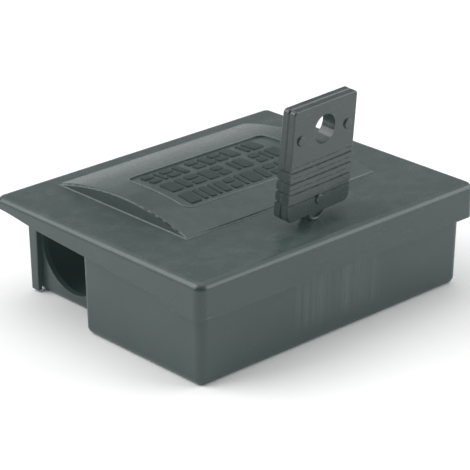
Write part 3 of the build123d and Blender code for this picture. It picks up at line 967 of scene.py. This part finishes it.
@dataclass
class PanelBead:
    """The fine raised line that the mould leaves round the sunk panel."""

    curve: PanelCurve
    low: tuple[float, float] = (-30.0, -8.5)
    high: tuple[float, float] = (34.0, 23.5)
    corner: float = 3.0
    wide: float = 0.62
    tall: float = 0.2
    steps: int = 26
    corner_steps: int = 6
    crease: float = 70.0
    section: tuple[tuple[float, float], ...] = (
        (0.0, -0.1),
        (0.04, 0.6),
        (0.25, 0.95),
        (0.5, 1.0),
        (0.75, 0.95),
        (0.96, 0.6),
        (1.0, -0.1),
    )

    def path(self) -> list[tuple[Vector, Vector]]:
        """Draws the line's inner edge.

        Returns:
            Points round the panel, each with its way out.
        """
        centres = corner_centres(Vector(self.low), Vector(self.high), self.corner)
        points = []
        for quarter, centre in enumerate(centres):
            for step in range(self.corner_steps + 1):
                turn = math.radians(90.0 * quarter - 90.0 + 90.0 / self.corner_steps * step)
                out = Vector((math.cos(turn), math.sin(turn)))
                points.append((centre + self.corner * out, out))
            start, out = points[-1]
            end = centres[(quarter + 1) % 4] + self.corner * out
            shares = (step / self.steps for step in range(1, self.steps))
            points.extend((start.lerp(end, share), out) for share in shares)
        return points

    def build(self, material: Material) -> Piece:
        """Builds the line.

        Args:
            material: Its finish.

        Returns:
            The line, riding on the lid.
        """
        mesh_data = bmesh.new()
        rings = []
        for point, out in self.path():
            ring = []
            for share, height in self.section:
                at = point + out * (share * self.wide)
                level = self.curve.height(at.y, height * self.tall)
                ring.append(mesh_data.verts.new(Vector((at.x, at.y, level)) * MM))
            rings.append(ring)
        join_rings(mesh_data, rings, closed=True)
        bead = new_piece("panel_bead", mesh_data, material, self.crease)
        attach(bead, "lid")
        return bead


@dataclass
class ArchFillet:
    """The small hollow fillet where the arch meets the lid's flat top."""

    level: float = 38.3
    low: tuple[float, float] = (-42.5, -21.5)
    high: tuple[float, float] = (45.5, 44.3)
    radius: float = 0.42
    lift: float = 1.02
    hidden: tuple[tuple[float, float], ...] = ((0.12, -0.12), (-0.04, -0.04), (-0.04, 1.0))
    steps: int = 5
    along: int = 24
    crease: float = 50.0

    def build(self, material: Material) -> Piece:
        """Builds the fillet.

        Args:
            material: Its finish.

        Returns:
            The fillet, riding on the lid.
        """
        (x0, y0), (x1, y1) = self.low, self.high
        corners = ((x0, y0), (x1, y0), (x1, y1), (x0, y1))
        ways = ((-1, -1), (1, -1), (1, 1), (-1, 1))
        section = list(self.hidden)
        for step in range(self.steps + 1):
            turn = math.radians(90.0 * step / self.steps)
            section.append((1.0 - math.cos(turn), self.lift - math.sin(turn)))
        mesh_data = bmesh.new()
        rings = []
        for side in range(4):
            (ax, ay), (bx, by) = corners[side], corners[(side + 1) % 4]
            (aw, ah), (bw, bh) = ways[side], ways[(side + 1) % 4]
            for step in range(self.along):
                share = step / self.along
                ring = []
                for out, up in section:
                    reach = out * self.radius
                    x = (ax + aw * reach) * (1 - share) + (bx + bw * reach) * share
                    y = (ay + ah * reach) * (1 - share) + (by + bh * reach) * share
                    place = Vector((x, y, self.level + up * self.radius))
                    ring.append(mesh_data.verts.new(place * MM))
                rings.append(ring)
        join_rings(mesh_data, rings, closed=True)
        fillet = new_piece("arch_fillet", mesh_data, material, self.crease)
        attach(fillet, "lid")
        return fillet


@dataclass
class Lid:
    """The lid: its moulding, with the relief and the fine lines on its arch."""

    nodes: tuple[str, ...] = ("lid_shell",)

    def build(self) -> None:
        """Adds the relief, the line round the panel and the arch's fillet."""
        curve = PanelCurve(crown=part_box("lid_shell")[1].z / MM)
        # The relief takes the darker finish that paints the shade on its strokes.
        PanelRelief(curve).build(RELIEF_SHADE_FINISH.build())
        # The bead and the fillet take the lighter finish that paints their highlights.
        wear_and_painted_highlight = BEAD_HIGHLIGHT_FINISH.build()
        PanelBead(curve).build(wear_and_painted_highlight)
        ArchFillet().build(wear_and_painted_highlight)

    def dress(self) -> None:
        """Gives the moulding its finish."""
        dress(self.nodes, LID_FINISH.build())


# ---------------------------------------------------------------- tray, lock and key
@dataclass
class Tray:
    """The lower box and the two pins of its hinge."""

    nodes: tuple[str, ...] = ("tray_shell",)
    pins: tuple[str, ...] = ("hinge_pin_left", "hinge_pin_right")

    def dress(self) -> None:
        """Gives the moulding and the pins their finishes."""
        dress(self.nodes, TRAY_FINISH.build())
        dress(self.pins, PIN_FINISH.build())


@dataclass
class Lock:
    """The plunger, bolt, spring, cover and screws under the lid."""

    mouldings: tuple[str, ...] = ("lock_plunger", "lock_bolt", "lock_cover")
    screws: tuple[str, ...] = ("lock_screws",)
    spring: tuple[str, ...] = ("lock_spring",)

    def dress(self) -> None:
        """Gives each piece its finish."""
        dress(self.mouldings, LOCK_FINISH.build())
        dress(self.screws, PIN_FINISH.build())
        dress(self.spring, SPRING_FINISH.build())


@dataclass
class TongueRim:
    """The rounded rim along the arc of the key's tongue, on one of its faces."""

    side: int
    foot: Triple = (0.0, -36.0, 38.3)
    lean: float = 5.5
    turn: float = 3.8
    centre: float = 4.35
    radius: float = 3.65
    face: float = 2.4
    tube: float = 0.36
    sweep_from: float = -186.0
    sweep: float = 192.0
    tip: float = 0.3
    swell: float = 8.0
    steps: int = 28
    around: int = 10
    crease: float = 60.0

    def build(self, material: Material) -> Piece:
        """Builds the rim.

        Args:
            material: Its finish.

        Returns:
            The rim, riding on the key.
        """
        lean, turn = math.radians(self.lean), math.radians(self.turn)
        across = Vector((math.cos(turn), math.sin(turn), 0.0))
        level = math.cos(lean)
        out = Vector((math.sin(turn) * level, -math.cos(turn) * level, -math.sin(lean)))
        up = out.cross(across)
        middle = Vector(self.foot) + up * self.centre + out * (self.side * self.face)
        mesh_data = bmesh.new()
        rings = []
        for step in range(self.steps + 1):
            share = step / self.steps
            sweep = math.radians(self.sweep_from + self.sweep * share)
            way = across * math.cos(sweep) + up * math.sin(sweep)
            thick = self.tube * min(1.0, self.tip + self.swell * min(share, 1.0 - share))
            ring = []
            for at in range(self.around):
                roll = 2 * math.pi * at / self.around
                reach = self.radius + thick * math.cos(roll)
                place = middle + way * reach + out * (thick * math.sin(roll))
                ring.append(mesh_data.verts.new(place * MM))
            rings.append(ring)
        join_rings(mesh_data, rings, closed=False)
        mesh_data.faces.new(rings[0])
        mesh_data.faces.new(list(reversed(rings[-1])))
        name = f"tongue_rim_{'front' if self.side > 0 else 'back'}"
        rim = new_piece(name, mesh_data, material, self.crease)
        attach(rim, "key")
        return rim


@dataclass
class Key:
    """The plate key: two half shells, three pegs and the rims of its tongue."""

    halves: tuple[str, ...] = ("key_front_half", "key_back_half")
    pegs: tuple[str, ...] = ("key_peg_left", "key_peg_right", "key_peg_lower")

    def build(self) -> None:
        """Adds the rims of the tongue."""
        # The rims take the lighter finish that paints their highlight.
        wear_and_painted_highlight = RIM_HIGHLIGHT_FINISH.build()
        for side in (-1, 1):
            TongueRim(side).build(wear_and_painted_highlight)

    def dress(self) -> None:
        """Gives the key its finish."""
        material = KEY_FINISH.build()
        dress(self.halves, material)
        dress(self.pegs, material)


# ---------------------------------------------------------------- bait
@dataclass
class BaitBlock:
    """A pressed bait block: an extruded outline with four grooves and a hole for the rod."""

    around: int = 112
    rows: int = 22
    hole: float = 1.32
    groove: float = 1.4
    corner: float = 1.4
    bevel: float = 0.7
    squareness: float = 9.0
    facing: float = 0.7
    lump: float = 0.16
    lump_scale: float = 0.55
    crumb_scale: float = 1.4
    crumb_share: float = 0.4
    chip: float = 0.5
    chip_scale: float = 0.35
    chip_from: float = 0.38
    chip_shift: Triple = (7.0, 3.0, 1.0)
    face_shares: tuple[float, ...] = (0.0, 0.25, 0.5, 0.75)
    smooth_within: float = 0.2
    rim_share: float = 0.99
    crease: float = 50.0

    def outline(self, wide: float, tall: float, turn: float) -> float:
        """Distance from the middle to the outline.

        Args:
            wide: Width of the block, in millimetres.
            tall: Height of the block, in millimetres.
            turn: Direction, in radians.

        Returns:
            The distance, in millimetres.
        """
        across, up = abs(math.cos(turn)), abs(math.sin(turn))
        power = self.squareness
        reach = ((across / (wide / 2)) ** power + (up / (tall / 2)) ** power) ** (-1 / power)
        for middle, half in ((across, wide / 2), (up, tall / 2)):
            side = half * math.sqrt(max(0.0, 1.0 - middle**2)) / max(middle, 1e-6)
            if middle > self.facing and side < self.groove:
                reach -= math.sqrt(self.groove**2 - side**2)
        return reach

    def roughen(self, place: Vector, outward: Vector, seed: float) -> Vector:
        """Moves a point in or out, as lumps of grain do.

        Args:
            place: The point, in millimetres.
            outward: Its way out.
            seed: Offset of the noise, so that no two blocks match.

        Returns:
            The moved point.
        """
        at = place + Vector((seed, seed * 2.0, -seed))
        lumps = noise.noise(at * self.lump_scale) * (1.0 - self.crumb_share)
        lumps += noise.noise(at * self.crumb_scale) * self.crumb_share
        where = at * self.chip_scale + Vector(self.chip_shift)
        chips = max(0.0, noise.noise(where) - self.chip_from)
        return place + outward * (lumps * self.lump - self.lump - chips * self.chip)

    def build(
        self, node: str, material: Material, body: str, seed: float
    ) -> Piece:
        """Builds a block in place of a packed one.

        Args:
            node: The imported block.
            material: Its finish.
            body: The body it rides on.
            seed: Offset of its noise.

        Returns:
            The block.
        """
        low, high = (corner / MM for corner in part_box(node))
        wide, deep, tall = high - low
        middle = (low + high) / 2
        mesh_data = bmesh.new()
        stations = [(0.0, share) for share in self.face_shares]
        stations += [(self.bevel * 0.3, 1.0 - self.bevel / wide * 1.2)]
        straight = deep / 2 - self.bevel
        for row in range(self.rows + 1):
            stations.append((self.bevel + straight * row / self.rows, 1.0))
        half = [(y - deep / 2, share) for y, share in stations]
        stations = half + [(-y, share) for y, share in reversed(half[:-1])]
        stations += [(y, 0.0) for y in (deep / 3, 0.0, -deep / 3)]
        rings = []
        for y, share in stations:
            ring = []
            for step in range(self.around):
                turn = 2 * math.pi * step / self.around
                reach = self.outline(wide, tall, turn)
                radius = self.hole + (reach - self.hole) * share
                across = Vector((math.cos(turn), 0.0, math.sin(turn)))
                place = middle + across * radius + Vector((0.0, y, 0.0))
                if share > self.smooth_within:
                    end_on = share < self.rim_share
                    endways = Vector((0.0, math.copysign(1.0, y), 0.0))
                    outward = endways if end_on else across
                    place = self.roughen(place, outward, seed)
                ring.append(mesh_data.verts.new(place * MM))
            rings.append(ring)
        join_rings(mesh_data, rings, closed=True)
        block = new_piece(f"{node}_wax", mesh_data, material, self.crease)
        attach(block, body)
        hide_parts(node)
        return block


@dataclass
class Bait:
    """The dish, the two rods and the four blocks on them."""

    dish: tuple[str, ...] = ("bait_dish",)
    rods: tuple[str, ...] = ("bait_rod_left", "bait_rod_right")
    sides: tuple[str, ...] = ("left", "right")
    ends: tuple[str, ...] = ("front", "back")
    first_seed: float = 3.0
    seed_step: float = 17.0

    def build(self) -> None:
        """Builds the blocks."""
        material = BAIT_FINISH.build()
        seed = self.first_seed
        for side in self.sides:
            for end in self.ends:
                BaitBlock().build(f"bait_block_{side}_{end}", material, f"rod_{side}", seed)
                seed += self.seed_step

    def dress(self) -> None:
        """Gives the dish and the rods their finishes."""
        dress(self.dish, DISH_FINISH.build())
        dress(self.rods, ROD_FINISH.build())


# ---------------------------------------------------------------- studio
@dataclass(frozen=True)
class SoftBox:
    """A soft rectangular light."""

    name: str
    place: Triple
    aim: Triple
    size: tuple[float, float]
    power: float

    def build(self) -> None:
        """Adds the light."""
        data = bpy.data.lights.new(self.name, "AREA")
        data.shape = "RECTANGLE"
        data.size, data.size_y = self.size
        data.energy = self.power
        light = bpy.data.objects.new(self.name, data)
        light.location = self.place
        way = Vector(self.aim) - Vector(self.place)
        light.rotation_mode = "QUATERNION"
        light.rotation_quaternion = way.to_track_quat("-Z", "Y")
        bpy.context.scene.collection.objects.link(light)
        LOG.info("lit %s", self.name)


@dataclass
class Studio:
    """A plain pale floor, soft light and the camera."""

    eye: Triple = (-0.49767, -0.53055, 0.33070)
    target: Triple = (0.00168, 0.00247, 0.0195)
    lens: float = 173.8
    sensor: float = 36.0
    nearest: float = 0.01
    floor_half: float = 3.0
    floor_colour: Colour = (0.94, 0.94, 0.94)
    floor_dark: float = 0.98
    floor_scale: float = 60.0
    sky_low: float = 0.68
    sky_belt: float = 0.20
    sky_high: float = 1.75
    belt_rise: tuple[float, float] = (0.10, 0.42)
    top_rise: tuple[float, float] = (0.45, 0.95)
    near_side: Triple = (-0.684, -0.730, 0.0)
    near_share: float = 0.0
    near_reach: float = 0.7
    veil: Colour = (-0.010, -0.016, -0.016)
    boxes: tuple[SoftBox, ...] = (
        SoftBox("left box", (-0.72, 0.53, 0.70), (0.0, 0.0, 0.03), (1.0, 0.9), 9.5),
        SoftBox("right box", (0.88, -0.70, 0.47), (0.0, 0.0, 0.03), (1.1, 0.7), 7.6),
    )

    def floor(self) -> None:
        """Adds the floor."""
        mesh_data = bmesh.new()
        half = self.floor_half
        corners = ((-half, -half), (half, -half), (half, half), (-half, half))
        mesh_data.faces.new([mesh_data.verts.new((x, y, 0.0)) for x, y in corners])
        material, shade = start_material("floor paper")
        darker = tuple(c * self.floor_dark for c in self.floor_colour)
        colour = shade.mix(shade.grain(self.floor_scale, 2.0), darker, self.floor_colour)
        paper = {"Base Color": colour, "Roughness": 0.95, "Specular IOR Level": 0.1}
        shade.cover(shade.add("BsdfPrincipled", paper))
        new_piece("floor", mesh_data, material, 30.0)

    def sky(self) -> None:
        """Adds a soft surround: a dim belt between horizon and top, and dim on the near side."""
        world = bpy.data.worlds.new("soft surround")
        world.use_nodes = True
        world.node_tree.nodes.clear()
        shade = Shade(world.node_tree)
        way = shade.add("TexCoord").outputs["Generated"]
        up = shade.add("SeparateXYZ", {"Vector": way}).outputs["Z"]
        facing = shade.dot(way, self.near_side)
        dimmed = shade.span(facing, 0.0, self.near_reach, (1.0, self.near_share))
        belt = shade.span(up, *self.belt_rise, (self.sky_low, self.sky_belt))
        top = shade.span(up, *self.top_rise, (0.0, self.sky_high - self.sky_belt))
        strength = shade.times(shade.plus(belt, top), dimmed)
        glow = shade.add("Background", {"Color": (1.0, 1.0, 1.0), "Strength": strength})
        outlet = shade.add("OutputWorld")
        shade.feed(outlet.inputs["Surface"], glow.outputs["Background"])
        bpy.context.scene.world = world

    def camera(self) -> None:
        """Adds the camera."""
        data = bpy.data.cameras.new("camera")
        data.lens = self.lens
        data.sensor_width = self.sensor
        data.clip_start = self.nearest
        eye = bpy.data.objects.new("camera", data)
        eye.location = self.eye
        eye.rotation_mode = "QUATERNION"
        way = Vector(self.target) - Vector(self.eye)
        eye.rotation_quaternion = way.to_track_quat("-Z", "Y")
        bpy.context.scene.collection.objects.link(eye)
        bpy.context.scene.camera = eye

    def build(self) -> None:
        """Builds the studio."""
        self.floor()
        self.sky()
        for box in self.boxes:
            box.build()
        self.camera()
        view = bpy.context.scene.view_settings
        view.view_transform = "Standard"
        view.use_curve_mapping = True
        view.curve_mapping.black_level = self.veil
        view.curve_mapping.update()


def main() -> None:
    """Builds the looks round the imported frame."""
    logging.basicConfig(level=logging.INFO, format="%(name)s: %(message)s")
    Studio().build()
    lid = Lid()
    lid.build()
    lid.dress()
    Tray().dress()
    Lock().dress()
    key = Key()
    key.build()
    key.dress()
    bait = Bait()
    bait.build()
    bait.dress()


if __name__ == "__main__":
    main()
